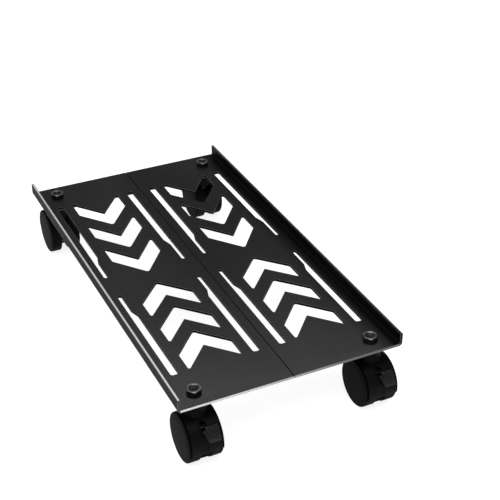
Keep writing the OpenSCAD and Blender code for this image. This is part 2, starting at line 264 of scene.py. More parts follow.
# rubbed black oxide for the nut's top ring, lightened as a painted highlight
M_NUT_RUB_HIGHLIGHT = steel("black_oxide_rubbed_and_highlight", (0.16, 0.16, 0.165), (0.07, 0.07, 0.075), 0.30, 0.85, spots=0.2)
M_STEEL = steel("zinc_plated_steel", (0.50, 0.50, 0.52), (0.33, 0.33, 0.35), 0.30, 1.0, spots=0.35)
M_PIN = steel("blackened_pin", (0.020, 0.020, 0.021), (0.010, 0.010, 0.011), 0.42, 0.6, spots=0.2)
M_STEM = steel("dark_zinc_steel", (0.075, 0.075, 0.08), (0.045, 0.045, 0.05), 0.38, 0.9, spots=0.35)
M_STUD = steel("dark_stud_steel", (0.040, 0.040, 0.042), (0.015, 0.015, 0.017), 0.36, 0.9, spots=0.3)
M_HOOD = moulded("nylon_hood", (0.0022, 0.0022, 0.0024), (0.0034, 0.0034, 0.0037), 0.42, 0.05, scuff=0.04)
# painted shade for the hood's side borders and the web's foot
M_HOOD_SHADE = moulded("nylon_hood_painted_shade", (0.0008, 0.0008, 0.0009), (0.0014, 0.0014, 0.0015), 0.66, 0.008)
M_PEDAL = moulded("nylon_pedal", (0.0050, 0.0050, 0.0053), (0.0080, 0.0080, 0.0084), 0.34, 0.22, scuff=0.08)
M_WHEEL = moulded("nylon_wheel_face", (0.0026, 0.0026, 0.0028), (0.0040, 0.0040, 0.0043), 0.50, 0.012, scuff=0.04, lay=(1, 0.5, 0.5))
M_TREAD = moulded("nylon_tread", (0.0024, 0.0024, 0.0026), (0.0044, 0.0044, 0.0046), 0.62, 0.03, scuff=0.14, lay=(0.25, 1, 1))


# ------------------------------------------------------------------ mesh tools
def finish_mesh(bm, name, mats, smooth=34.0):
    """Turns a bmesh into a linked object, shaded smooth up to the given angle."""
    bmesh.ops.recalc_face_normals(bm, faces=bm.faces)
    me = bpy.data.meshes.new(name)
    bm.to_mesh(me)
    bm.free()
    me.update()
    for x in mats:
        me.materials.append(x)
    for f in me.polygons:
        f.use_smooth = True
    ob = bpy.data.objects.new(name, me)
    scene.collection.objects.link(ob)
    if smooth is not None:
        me.set_sharp_from_angle(angle=math.radians(smooth))
    return ob


def strip(bm, rings, closed_loop=True, closed_path=False, cap=(False, False), mat=None):
    """Quads between rings of vertices. mat(i, j) gives a face's material index."""
    n = len(rings[0])
    last = len(rings) if closed_path else len(rings) - 1
    for i in range(last):
        a, b = rings[i], rings[(i + 1) % len(rings)]
        for j in range(n if closed_loop else n - 1):
            k = (j + 1) % n
            f = bm.faces.new((a[j], a[k], b[k], b[j]))
            if mat:
                f.material_index = mat(i, j)
    if cap[0]:
        bm.faces.new(list(reversed(rings[0])))
    if cap[1]:
        bm.faces.new(rings[-1])


def fan(bm, ring, point, mat=0):
    """A pole: triangles from a ring to one point."""
    c = bm.verts.new(point)
    for j in range(len(ring)):
        f = bm.faces.new((ring[j], ring[(j + 1) % len(ring)], c))
        f.material_index = mat
    return c


def round_poly(pts, k=4):
    """Rounds the corners of an open 2D path. Points are (u, v, radius)."""
    out = []
    for i, (u, v, r) in enumerate(pts):
        if i in (0, len(pts) - 1) or r <= 0:
            out.append((u, v))
            continue
        p, n, c = Vector(pts[i - 1][:2]), Vector(pts[i + 1][:2]), Vector((u, v))
        a, b = (p - c), (n - c)
        la, lb = a.length, b.length
        a.normalize(), b.normalize()
        h = math.acos(max(-1, min(1, a.dot(b)))) / 2
        t = min(r / math.tan(h), la * 0.49, lb * 0.49)
        r = t * math.tan(h)
        m = c + (a + b).normalized() * (r / math.sin(h))
        s, e = c + a * t - m, c + b * t - m
        a0 = math.atan2(s.y, s.x)
        d = (math.atan2(e.y, e.x) - a0 + math.pi) % TAU - math.pi
        out += [(m.x + r * math.cos(a0 + d * q / k), m.y + r * math.sin(a0 + d * q / k)) for q in range(k + 1)]
    return out


def round_loop(pts, k=4):
    """The same for a closed path."""
    n = len(pts)
    ext = [pts[-1], *pts, pts[0]]
    out = []
    for i in range(1, n + 1):
        out += round_poly([ext[i - 1], ext[i], ext[i + 1]], k)[1:-1] if ext[i][2] > 0 else [ext[i][:2]]
    return out


def densify(path, step):
    """Adds points so that no stretch of a path is longer than step."""
    out = [path[0]]
    for a, b in zip(path, path[1:]):
        n = max(1, math.ceil(math.dist(a, b) / step))
        out += [tuple(a[q] + (b[q] - a[q]) * i / n for q in range(len(a))) for i in range(1, n + 1)]
    return out


def smooth01(t):
    t = max(0.0, min(1.0, t))
    return t * t * (3 - 2 * t)


def place(ob, corner, mirror=False):
    """Moves mesh vertices from caster coordinates (mm) to the row frame."""
    sx, sy = corner
    m = Matrix.Translation(Vector((sx * STEM_X, sy * STEM_Y, 0)))
    if sy > 0:
        m = m @ Matrix.Rotation(math.pi, 4, "Z")
    m = m @ Matrix.Diagonal((-MM if mirror else MM, MM, MM, 1))
    ob.data.transform(m)
    if mirror:
        ob.data.flip_normals()
    ob.data.update()
    return ob


def copy_of(ob, name):
    c = ob.copy()
    c.data = ob.data.copy()
    c.name = c.data.name = name
    scene.collection.objects.link(c)
    return c


def boolean(ob, other, op):
    """Applies one exact boolean and removes the second operand."""
    md = ob.modifiers.new("b", "BOOLEAN")
    md.operation = op
    md.solver = "EXACT"
    md.object = other
    dg = bpy.context.evaluated_depsgraph_get()
    me = bpy.data.meshes.new_from_object(ob.evaluated_get(dg))
    ob.modifiers.clear()
    old = ob.data
    ob.data = me
    bpy.data.meshes.remove(old)
    bpy.data.objects.remove(other)


def tidy(ob, name, smooth=34.0, dist=1e-5):
    """Welds and cleans a mesh (mm units) after booleans."""
    bm = bmesh.new()
    bm.from_mesh(ob.data)
    bmesh.ops.remove_doubles(bm, verts=bm.verts, dist=dist)
    bmesh.ops.dissolve_degenerate(bm, edges=bm.edges, dist=dist)
    loose = [v for v in bm.verts if not v.link_faces]
    bmesh.ops.delete(bm, geom=loose, context="VERTS")
    bmesh.ops.recalc_face_normals(bm, faces=bm.faces)
    bm.to_mesh(ob.data)
    bm.free()
    for f in ob.data.polygons:
        f.use_smooth = True
    ob.data.set_sharp_from_angle(angle=math.radians(smooth))
    ob.name = ob.data.name = name
    return ob


# ------------------------------------------------------------------ main sizes, read from the frame
lo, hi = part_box("fl_stem")
STEM_X, STEM_Y = -(lo.x + hi.x) / 2, -(lo.y + hi.y) / 2
lo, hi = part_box("fl_axle")
AX_Z = (lo.z + hi.z) / 2 / MM
TRAIL = (-(lo.y + hi.y) / 2 - STEM_Y) / MM
lo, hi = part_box("fl_wheel_outer")
WHEEL_R = (hi.z - lo.z) / 2 / MM
lo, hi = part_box("fl_housing")
HOOD_HALF = (hi.x - lo.x) / 2 / MM
HOOD_OUT = (-lo.y - STEM_Y) / MM - TRAIL
NECK_TOP = hi.z / MM
HOOD_IN = WHEEL_R + 0.5
WHEEL_O = HOOD_HALF + 0.3
WEB = 5.6
WHEEL_I = WEB + 0.35
A_LOW, A_REAR = -9.0, 114.0
lo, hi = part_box("fl_stem")
STUD_TOP, SHANK_LOW = hi.z / MM, lo.z / MM
lo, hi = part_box("stem_nuts")
NUT_LOW, NUT_TOP = lo.z / MM, hi.z / MM
DECK_TOP = NUT_LOW
lo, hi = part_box("front_brace")
BRACE_LOW = hi.z / MM - 2.5
COLLAR_LOW = BRACE_LOW - 4.0
deck_lo, deck_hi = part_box("left_deck")
CORNERS = {"fl": (-1, -1), "fr": (1, -1), "rl": (-1, 1), "rr": (1, 1)}


def hood_point(x, r, a):
    """Caster coordinates of a point at radius r, angle a (degrees up from the front)."""
    t = math.radians(a)
    return (x, -TRAIL - r * math.cos(t), AX_Z + r * math.sin(t))


# ------------------------------------------------------------------ deck halves and braces
def refill(bm):
    """Fills every large flat face that has holes again, with plain triangles."""
    bm.normal_update()
    groups = {}
    for f in bm.faces:
        if len(f.verts) > 8:
            n = f.normal
            key = (round(n.x, 2), round(n.y, 2), round(n.z, 2), round(f.calc_center_median().dot(n), 4), f.material_index)
            groups.setdefault(key, []).append(f)
    for key, faces in groups.items():
        normal, mat = faces[0].normal.copy(), faces[0].material_index
        count = {}
        for f in faces:
            for e in f.edges:
                count[e] = count.get(e, 0) + 1
        inner = [e for e in count if all(x in faces for x in e.link_faces)]
        border = [e for e in count if e not in inner]
        bmesh.ops.delete(bm, geom=faces, context="FACES_ONLY")
        bmesh.ops.delete(bm, geom=inner, context="EDGES")
        new = bmesh.ops.triangle_fill(bm, use_beauty=True, use_dissolve=False, edges=[e for e in border if e.is_valid], normal=normal)
        for g in new["geom"]:
            if isinstance(g, bmesh.types.BMFace):
                g.material_index = mat


def cut_faces(bm, faces, point, normal):
    """Splits the given faces along a plane."""
    edges = {e for f in faces for e in f.edges}
    verts = {v for f in faces for v in f.verts}
    bmesh.ops.bisect_plane(bm, geom=[*faces, *edges, *verts], plane_co=point, plane_no=normal, dist=1e-7)


def flange_strips(bm):
    """Paints a highlight strip along the flange's top edge: along its middle on the left,
    and along its outer side on the right. The rest of the left top gets the edge coat, the rest of the right top
    painted shade."""
    top = [f for f in bm.faces if f.normal.z > 0.99 and f.calc_center_median().z > deck_hi.z - 2e-4]
    side = -1 if top[0].calc_center_median().x < 0 else 1
    inner, outer = (0.1325, 0.1343) if side < 0 else (0.1338, 0.1350)
    for x in (inner, outer):
        faces = [f for f in bm.faces if f.normal.z > 0.99 and f.calc_center_median().z > deck_hi.z - 2e-4]
        cut_faces(bm, faces, (side * x, 0, 0), (1, 0, 0))
    for f in bm.faces:
        c = f.calc_center_median()
        if f.normal.z > 0.99 and c.z > deck_hi.z - 2e-4:
            # strip: painted highlight; left top: edge coat with painted highlight; right top: painted shade in the
            # dark seam coat
            f.material_index = 2 if inner < abs(c.x) < outer else (1 if side < 0 else 4)
        # flange faces: the side coat, painted shade
        elif abs(f.normal.x) > 0.95 and abs(c.x) > abs(deck_hi.x) - 2e-4:
            f.material_index = 3
        elif abs(c.x) < 0.00082 and abs(c.y) < deck_hi.y - 4e-4:
            f.material_index = 4
        # walls of the cut-outs: painted shade in the dark seam coat
        elif abs(f.normal.z) < 0.2 and abs(c.x) < 0.125 and abs(c.y) < 0.21:
            f.material_index = 4


def sheet_piece(node, name, width, mats, highlight_end, segments=3, strips=None):
    """Takes a sheet part's shape from its CAD node, rounds its edges, and gives
    the rounded edges (light rub marks with a painted highlight) and the chosen end faces (painted highlight)
    materials of their own."""
    bm = bmesh.new()
    bm.from_mesh(NODES[node].data)
    bmesh.ops.remove_doubles(bm, verts=bm.verts, dist=2e-6)
    bmesh.ops.dissolve_limit(bm, angle_limit=math.radians(0.4), verts=bm.verts, edges=bm.edges, delimit=set())
    if strips:
        for side in (-1, 1):
            ends = [f for f in bm.faces if abs(f.normal.y) > 0.9 and abs(abs(f.calc_center_median().y) - deck_hi.y) < 2e-4]
            cut_faces(bm, ends, (side * 0.1318, 0, 0), (1, 0, 0))
    bm.normal_update()
    for f in bm.faces:
        # chosen end faces get the painted highlight material, all others the plain coat
        f.material_index = 2 if highlight_end(f) else 0
    edges = [e for e in bm.edges if len(e.link_faces) == 2 and e.calc_face_angle(0) > math.radians(35)]
    rim = bm.faces.layers.int.new("rim")
    # bevel faces get material 1, the edge coat with its painted highlight
    made = bmesh.ops.bevel(
        bm, geom=edges, offset=width * MM, offset_type="OFFSET", segments=segments, profile=0.5,
        affect="EDGES", clamp_overlap=False, material=1, harden_normals=False, loop_slide=True,
    )
    for f in made["faces"]:
        f[rim] = 1
    bmesh.ops.remove_doubles(bm, verts=bm.verts, dist=1e-6)
    bmesh.ops.dissolve_degenerate(bm, edges=bm.edges, dist=1e-6)
    refill(bm)
    if strips:
        strips(bm)
    bm.edges.index_update()
    border = [e.index for e in bm.edges if len(e.link_faces) == 2 and e.link_faces[0][rim] != e.link_faces[1][rim]]
    ob = finish_mesh(bm, name, mats, smooth=32.0)
    for k in border:  # flat faces stay flat up to their rounded edges
        ob.data.edges[k].use_edge_sharp = True
    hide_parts(node)
    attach(ob, "stand")
    return ob


# end faces of the deck sheet between the flanges, which carry the painted highlight
def deck_highlight_end(f):
    c = f.calc_center_median()
    n = f.normal
    return abs(n.y) > 0.9 and abs(abs(c.y) - deck_hi.y) < 2e-4 and abs(c.x) < 0.1317


for node, name in (("left_deck", "deck_half_left"), ("right_deck", "deck_half_right")):
    sheet_piece(node, name, 0.22, [M_DECK, M_EDGE_WEAR_HIGHLIGHT, M_EDGE_HIGHLIGHT, M_DECK_SIDE_SHADE, M_SEAM_AND_SHADE], deck_highlight_end, segments=2, strips=flange_strips)
for node, name in (("front_brace", "cross_brace_front"), ("rear_brace", "cross_brace_rear")):
    sheet_piece(node, name, 0.35, [M_BRACE, M_EDGE_WEAR_HIGHLIGHT, M_BRACE], lambda f: False)


# ------------------------------------------------------------------ nuts and stems
PITCH = 1.5


def thread_drop(theta, z):
    """Depth of the thread below its crest, 0 to 1."""
    q = (z / PITCH - theta / TAU) % 1.0
    q = abs(q - 0.5) * 2
    return min(1.0, max(0.0, (q - 0.12) / 0.70))


def hex_radius(theta, flats, turn, soft=0.35):
    """Radius of a hexagon with slightly rounded corners."""
    t = (theta - turn) % (math.pi / 3) - math.pi / 6
    r = flats / 2 / math.cos(t)
    c = flats / 2 / math.cos(math.pi / 6)
    return r if r < c - soft else c - soft + (r - c + soft) * 0.35


def hex_angles(turn, per=14):
    """Angles that bunch up towards the six corners."""
    out = []
    for k in range(6):
        for i in range(per):
            u = i / per
            u = 0.5 - 0.5 * math.cos(math.pi * u)
            out.append(turn + (k + u) * math.pi / 3)
    return out


def make_nut():
    """Hex nut: chamfered top and bottom corners, countersunk and threaded bore."""
    flats, turn = 16.0, math.radians(12)
    corner = flats / math.sqrt(3)
    h = NUT_TOP - NUT_LOW
    top_r = flats / 2 - 0.5
    rings = []
    for th in hex_angles(turn, 16):
        rh = hex_radius(th, flats, turn)
        path = [(5.9, 0.0), (flats / 2 - 0.6, 0.0)]
        zb = 0.5 * (rh - (flats / 2 - 0.6)) / (corner - flats / 2 + 0.6)
        path += [(rh, zb), (rh, zb + 0.4)]
        zt = h - 1.5 * (rh - top_r) / (corner - top_r)
        path += [(rh, zb + 0.4 + (zt - zb - 0.8) * u) for u in (0.33, 0.66, 1.0)]
        path += [(rh, zt)]
        path += [(rh + (top_r - rh) * u, zt + (h - zt) * u) for u in (0.3, 0.6, 0.85)]
        path += [(top_r - 0.02, h - 0.03), (top_r - 0.25, h), (6.35, h), (6.15, h - 0.06)]
        path += [(6.15 - 1.0 * u, h - 0.06 - 0.75 * u) for u in (0.5, 1.0)]
        n = 36
        z1, z0 = h - 0.9, 0.75
        for i in range(n + 1):
            z = z1 + (z0 - z1) * i / n
            fade = min(1.0, (z1 - z) / 0.3, (z - z0) / 0.3)
            drop = thread_drop(th, z + NUT_LOW)
            path.append((5.06 - 0.60 * drop * max(0.0, fade), z))
        path += [(5.35, 0.45)]
        rings.append([(r * math.cos(th), r * math.sin(th), z) for r, z in path])
    m = len(rings[0])
    bm = bmesh.new()
    vs = [[bm.verts.new(p) for p in ring] for ring in rings]
    # chamfer, top face and countersink: rubbed black oxide with a painted highlight ring
    strip(bm, vs, closed_loop=True, closed_path=True, mat=lambda i, j: 1 if 8 <= j <= 15 else 0)
    return bm


def nuts():
    bm_all = bmesh.new()
    src = finish_mesh(make_nut(), "nut_source", [M_NUT, M_NUT_RUB_HIGHLIGHT], smooth=30.0)
    parts = []
    for sx, sy in CORNERS.values():
        c = copy_of(src, "n")
        c.data.transform(Matrix.Translation((sx * STEM_X, sy * STEM_Y, NUT_LOW * MM)) @ Matrix.Diagonal((MM, MM, MM, 1)))
        bm_all.from_mesh(c.data)
        parts.append(c)
    for c in parts:
        bpy.data.objects.remove(c)
    bpy.data.objects.remove(src)
    ob = finish_mesh(bm_all, "stem_nut_set", [M_NUT, M_NUT_RUB_HIGHLIGHT], smooth=30.0)
    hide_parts("stem_nuts")
    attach(ob, "stand")


nuts()


def make_stem():
    """Stem: threaded stud, hex collar with turned corners, plain shank with a groove."""
    flats, turn = 17.0, 0.0
    corner = flats / math.sqrt(3)
    col_top = COLLAR_LOW + 4.0
    rings = []
    for th in hex_angles(turn, 12):
        rh = hex_radius(th, flats, turn)
        p = [(0.35, SHANK_LOW), (3.7, SHANK_LOW), (4.5, SHANK_LOW + 1.0)]
        p += [(4.5, SHANK_LOW + 3.0), (4.1, SHANK_LOW + 3.2), (4.1, SHANK_LOW + 4.4), (4.5, SHANK_LOW + 4.6)]
        p += [(4.5, SHANK_LOW + 12), (4.5, SHANK_LOW + 20), (4.5, COLLAR_LOW - 0.15), (4.65, COLLAR_LOW)]
        zb = 0.75 * (rh - 8.5 + 0.15) / (corner - 8.5 + 0.15)
        p += [(8.2, COLLAR_LOW), (8.45, COLLAR_LOW + 0.05), (rh, COLLAR_LOW + 0.05 + zb)]
        p += [(rh, COLLAR_LOW + 2.0), (rh, col_top - 0.05 - zb), (8.45, col_top - 0.05), (8.2, col_top)]
        p += [(5.1, col_top), (4.98, col_top + 0.1)]
        z0, z1 = col_top + 0.35, STUD_TOP
        n = int((z1 - z0) / 0.17)
        for i in range(n + 1):
            z = z0 + (z1 - z0) * i / n
            fade = min(1.0, (z - z0) / 0.5)
            r = 4.98 - 0.72 * thread_drop(th, z) * fade
            cone = 4.98 - max(0.0, z - (z1 - 0.9)) * 1.05
            p.append((min(r, cone), z))
        p += [(2.35, z1), (2.05, z1 - 0.12), (0.6, z1 - 1.5)]
        rings.append([(r * math.cos(th), r * math.sin(th), z) for r, z in p])
    bm = bmesh.new()
    vs = [[bm.verts.new(q) for q in ring] for ring in rings]
    n = len(vs)
    m = len(vs[0])
    stud = m - 1
    for i in range(n):
        a, b = vs[i], vs[(i + 1) % n]
        for j in range(m - 1):
            f = bm.faces.new((a[j], b[j], b[j + 1], a[j + 1]))
            f.material_index = 1 if j > 19 else 0
    fan(bm, [v[0] for v in vs], (0, 0, SHANK_LOW))
    fan(bm, [v[-1] for v in vs], (0, 0, STUD_TOP - 1.58), 1)
    return bm


stem_src = finish_mesh(make_stem(), "stem_source", [M_STEM, M_STUD], smooth=30.0)
for c, corner in CORNERS.items():
    ob = place(copy_of(stem_src, c + "_threaded_stem"), corner)
    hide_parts(c + "_stem")
    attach(ob, "stand")
bpy.data.objects.remove(stem_src)


# ------------------------------------------------------------------ wheels
def make_wheel():
    """One moulded wheel on the +X side: domed face with a fine ring, tread, and a
    hollow back with a hub and eight ribs."""
    R, o, i0 = WHEEL_R, WHEEL_O, WHEEL_I
    face = [
        (1.2, o + 0.645, 0), (4.0, o + 0.63, 0), (R * 0.3, o + 0.60, 0), (R * 0.45, o + 0.52, 0),
        (R * 0.62, o + 0.40, 0), (R * 0.74, o + 0.28, 0), (R - 5.65, o + 0.21, 0.15), (R - 5.4, o - 0.22, 0.12), (R - 4.7, o - 0.22, 0.12),
        (R - 4.45, o + 0.13, 0.15), (R - 3.0, o + 0.05, 0.8), (R - 1.9, o + 0.0, 0.6), (R - 0.75, o - 0.28, 0.5),
        (R - 0.2, o - 0.85, 0.6), (R, o - 1.9, 0.6), (R, o - 4.0, 0), (R, o - 7.0, 0), (R, i0 + 3.2, 0),
        (R, i0 + 0.7, 0.4), (R - 0.6, i0, 0.3), (R - 2.6, i0, 0.25), (R - 3.0, i0 + 0.45, 0),
    ]
    outer = round_poly(face, 3)
    hub = round_poly([(7.0, 0, 0), (6.2, i0 + 0.4, 0), (5.9, i0, 0.2), (AXLE_R + 0.35, i0, 0.1), (AXLE_R + 0.05, i0 + 0.3, 0), (AXLE_R + 0.05, 16.5, 0), (0.8, 16.5, 0)], 3)
    deep, rib_top = o - 3.2, i0 + 2.6
    angles, mask = [], []
    ribs = 8
    base = [k * 360.0 / 120 for k in range(120)]
    edges = []
    for k in range(ribs):
        c = (k + 0.5) * 360.0 / ribs
        edges += [(c - 2.5, 0), (c - 2.15, 1), (c + 2.15, 1), (c + 2.5, 0)]
    for a in base:
        if all(abs(a - e) > 0.7 for e, _ in edges):
            inside = any(abs((a - (k + 0.5) * 360.0 / ribs + 180) % 360 - 180) < 2.15 for k in range(ribs))
            angles.append((a, 1 if inside else 0))
    angles = sorted(angles + edges)
    rings = []
    nw, nf = 5, 9
    for a, rib in angles:
        d = rib_top if rib else deep
        p = list(outer)
        # rim's inner wall, floor, hub's outer wall
        p += [(R - 3.0 - 0.9 * u, i0 + 0.45 + (d - i0 - 0.45) * u) for u in [q / nw for q in range(1, nw + 1)]]
        ra, rb = R - 3.9 - (0.35 if not rib else 0.0), 7.0 + (0.3 if not rib else 0.0)
        p += [(ra + (rb - ra) * q / nf, d + (0.25 * math.sin(math.pi * q / nf) if not rib else 0.0)) for q in range(nf + 1)]
        p += [(7.0 - 0.8 * u, d + (i0 + 0.4 - d) * u) for u in [q / nw for q in range(nw)]]
        p += hub[1:]
        t = math.radians(a)
        rings.append([(x, -TRAIL + r * math.sin(t), AX_Z + r * math.cos(t)) for r, x in p])
    bm = bmesh.new()
    vs = [[bm.verts.new(q) for q in ring] for ring in rings]
    n, m = len(vs), len(vs[0])
    tread = [j for j in range(len(outer) - 1) if outer[j][0] > R - 0.5 and outer[j + 1][0] > R - 0.8]
    tset = set(tread)
    groove = {j for j in range(len(outer) - 1) if R - 5.7 < outer[j][0] < R - 4.4 and outer[j][1] < o + 0.1 and R - 5.7 < outer[j + 1][0] < R - 4.4}
    for k in range(n):
        a, b = vs[k], vs[(k + 1) % n]
        for j in range(m - 1):
            f = bm.faces.new((a[j], b[j], b[j + 1], a[j + 1]))
            f.material_index = 1 if j in tset or j in groove else 0
    fan(bm, [v[0] for v in vs], (o + 0.65, -TRAIL, AX_Z))
    fan(bm, [v[-1] for v in vs], (16.5, -TRAIL, AX_Z))
    return bm


AXLE_R = 3.0
wheel_src = finish_mesh(make_wheel(), "wheel_source", [M_WHEEL, M_TREAD], smooth=28.0)
for c, corner in CORNERS.items():
    for which in ("outer", "inner"):
        side = (1 if which == "outer" else -1) * corner[0] * (-1 if corner[1] > 0 else 1)
        ob = place(copy_of(wheel_src, "%s_%s_twin_wheel" % (c, which)), corner, mirror=side < 0)
        node = "%s_wheel_%s" % (c, which)
        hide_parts(node)
        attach(ob, "%s_%s_wheel" % (c, which))
bpy.data.objects.remove(wheel_src)


# ------------------------------------------------------------------ caster housing
def valley(x, a):
    """Depth of the shallow dip between the two halves of the hood's front."""
    along = smooth01((a + 6) / 16) * (1 - smooth01((a - 44) / 18))
    return 0.75 * math.exp(-((x + 0.6) / 3.4) ** 2) * along


def hood_radius(x, a, braked):
    """Outer radius of the hood across its width: crowned, with a fine border step
    and rolled side edges."""
    u = abs(x)
    r = HOOD_OUT - 0.10 * (u / HOOD_HALF) ** 2
    r -= 0.28 * smooth01((u - 16.2) / 0.45)
    t = max(0.0, (u - (HOOD_HALF - 1.1)) / 1.1)
    r -= 0.75 * (1 - math.sqrt(max(0.0, 1 - t * t)))
    r -= valley(x, a)
    return r


def make_hood(braked):
    """Curved shell over the two wheels, closed, with rounded edges all round."""
    steps = [A_LOW + (A_REAR - A_LOW) * k / 82 for k in range(83)]
    ends = []
    rho = 0.5
    for k in range(5):
        f = k * math.pi / 8
        ends.append((rho * (1 - math.sin(f)), rho * (1 - math.cos(f))))
    # ends: k = 0 is the rim before rounding starts, k = 4 is the flat end
    rings_spec = []
    for s, d in reversed(ends):
        rings_spec.append((A_LOW + math.degrees((rho - s - 0) / HOOD_OUT) * 0 + math.degrees(s / HOOD_OUT), d))
    xs_out = []
    n = 76
    for k in range(n + 1):
        u = -1 + 2 * k / n
        xs_out.append(HOOD_HALF * math.sin(u * math.pi / 2) if abs(u) > 1.1 else HOOD_HALF * u)
    fine = [HOOD_HALF - q for q in (0.0, 0.03, 0.1, 0.22, 0.4, 0.65, 1.1, 1.7, 2.3, 2.75, 2.95, 3.15, 3.5)]
    core = [x * 0.5 for x in range(-31, 32)]
    xs = sorted(set([round(v, 4) for v in core if abs(v) < HOOD_HALF - 3.6] + [round(v, 4) for v in fine] + [round(-v, 4) for v in fine]))
    xin = [HOOD_HALF, HOOD_HALF - 0.2] + [HOOD_HALF * (0.95 - 1.9 * k / 14) for k in range(15)] + [-HOOD_HALF + 0.2, -HOOD_HALF]

    def ring(a, d):
        pts = []
        for x in xs:
            r = hood_radius(x, a, braked)
            xx = max(-HOOD_HALF + d, min(HOOD_HALF - d, x))
            pts.append(hood_point(xx if abs(x) > HOOD_HALF - 1e-6 else x * (HOOD_HALF - d) / HOOD_HALF, r - d, a))
        for k, x in enumerate(xin):
            r = HOOD_IN + d + (0.18 if k in (0, len(xin) - 1) else 0.0)
            pts.append(hood_point(x * (HOOD_HALF - d) / HOOD_HALF, r, a))
        return pts

    spec = []
    for k in range(4, -1, -1):  # rounded front edge
        f = k * math.pi / 8
        spec.append((A_LOW + math.degrees(rho * (1 - math.cos(math.pi / 2 - f)) / HOOD_OUT), rho * (1 - math.sin(math.pi / 2 - f))))
    first = A_LOW + math.degrees(rho / HOOD_OUT)
    last = A_REAR - math.degrees(rho / HOOD_OUT)
    spec = [(A_LOW + math.degrees(rho * (1 - math.sin(k * math.pi / 8)) / HOOD_OUT), rho * (1 - math.cos(k * math.pi / 8))) for k in (4, 3, 2, 1)]
    spec += [(first + (last - first) * k / 84, 0.0) for k in range(85)]
    spec += [(A_REAR - math.degrees(rho * (1 - math.sin(k * math.pi / 8)) / HOOD_OUT), rho * (1 - math.cos(k * math.pi / 8))) for k in (1, 2, 3, 4)]
    bm = bmesh.new()
    vs = [[bm.verts.new(p) for p in ring(a, d)] for a, d in spec]
    strip(bm, vs, closed_loop=True)
    # end walls: quads between the outer and inner runs
    for ends_ring in (vs[0], vs[-1]):
        no = len(xs)
        outer, inner = ends_ring[:no], ends_ring[no:][::-1]
        io = 0
        for k in range(len(inner) - 1):
            stop = no - 1 if k == len(inner) - 2 else max(io + 1, min(range(no), key=lambda q: abs(outer[q].co.x - inner[k + 1].co.x)))
            bm.faces.new([inner[k], inner[k + 1], *reversed(outer[io:stop + 1])])
            io = stop
    return finish_mesh(bm, "hood", [M_HOOD], None)


def make_web():
    """Solid web between the wheels, its rims rounded."""
    pts = []
    prof = []

    def at(r, a):
        t = math.radians(a)
        return (-r * math.cos(t), r * math.sin(t))

    path = []

    def arc(r, a0, a1, step=3.0):
        n = max(2, int(abs(a1 - a0) / step))
        return [(*at(r, a0 + (a1 - a0) * k / n), 0) for k in range(n + 1)]

    loop = []
    loop += arc(29.4, A_LOW + 2.0, A_REAR - 3.0)
    loop += [(*at(28.9, A_REAR - 1.2), 0), (*at(27.6, A_REAR - 0.8), 0), (*at(20.5, A_REAR - 0.8), 0)]
    loop += [(*at(18.9, A_REAR + 1.5), 0), (*at(18.1, A_REAR + 6), 0)]
    loop += arc(18.0, A_REAR + 12, 360 - 97, 4.0)
    loop += [(*at(18.3, 360 - 91), 0), (*at(19.6, 360 - 86), 0), (*at(22.0, 360 - 84), 0), (*at(25.4, 360 - 84), 0)]
    loop += [(*at(26.3, 360 - 83), 0)]
    loop += arc(27.3, 360 - 79, 360 - 11.5)
    loop += [(*at(27.6, 360 + A_LOW - 0.6), 0), (*at(28.4, 360 + A_LOW + 0.6), 0)]
    outline = [(u, max(v, 2.05 - AX_Z)) for u, v, _ in loop]
    n = len(outline)
    area = sum(outline[k][0] * outline[(k + 1) % n][1] - outline[(k + 1) % n][0] * outline[k][1] for k in range(n))
    sgn = 1 if area > 0 else -1

    def inset(d):
        out = []
        for k in range(n):
            p, c, q = Vector(outline[k - 1]), Vector(outline[k]), Vector(outline[(k + 1) % n])
            t = (q - p).normalized()
            nrm = Vector((-t.y, t.x)) * sgn
            out.append(c + nrm * d)
        return out

    bm = bmesh.new()
    rings = []
    for x, d in ((-WEB, 0.45), (-WEB + 0.13, 0.13), (-WEB + 0.45, 0.0), (WEB - 0.45, 0.0), (WEB - 0.13, 0.13), (WEB, 0.45)):
        rings.append([bm.verts.new((x, -TRAIL + p.x, AX_Z + p.y)) for p in inset(d)])
    strip(bm, rings, cap=(True, True))
    bmesh.ops.triangulate(bm, faces=[f for f in bm.faces if len(f.verts) > 4])
    return finish_mesh(bm, "web", [M_HOOD], None)


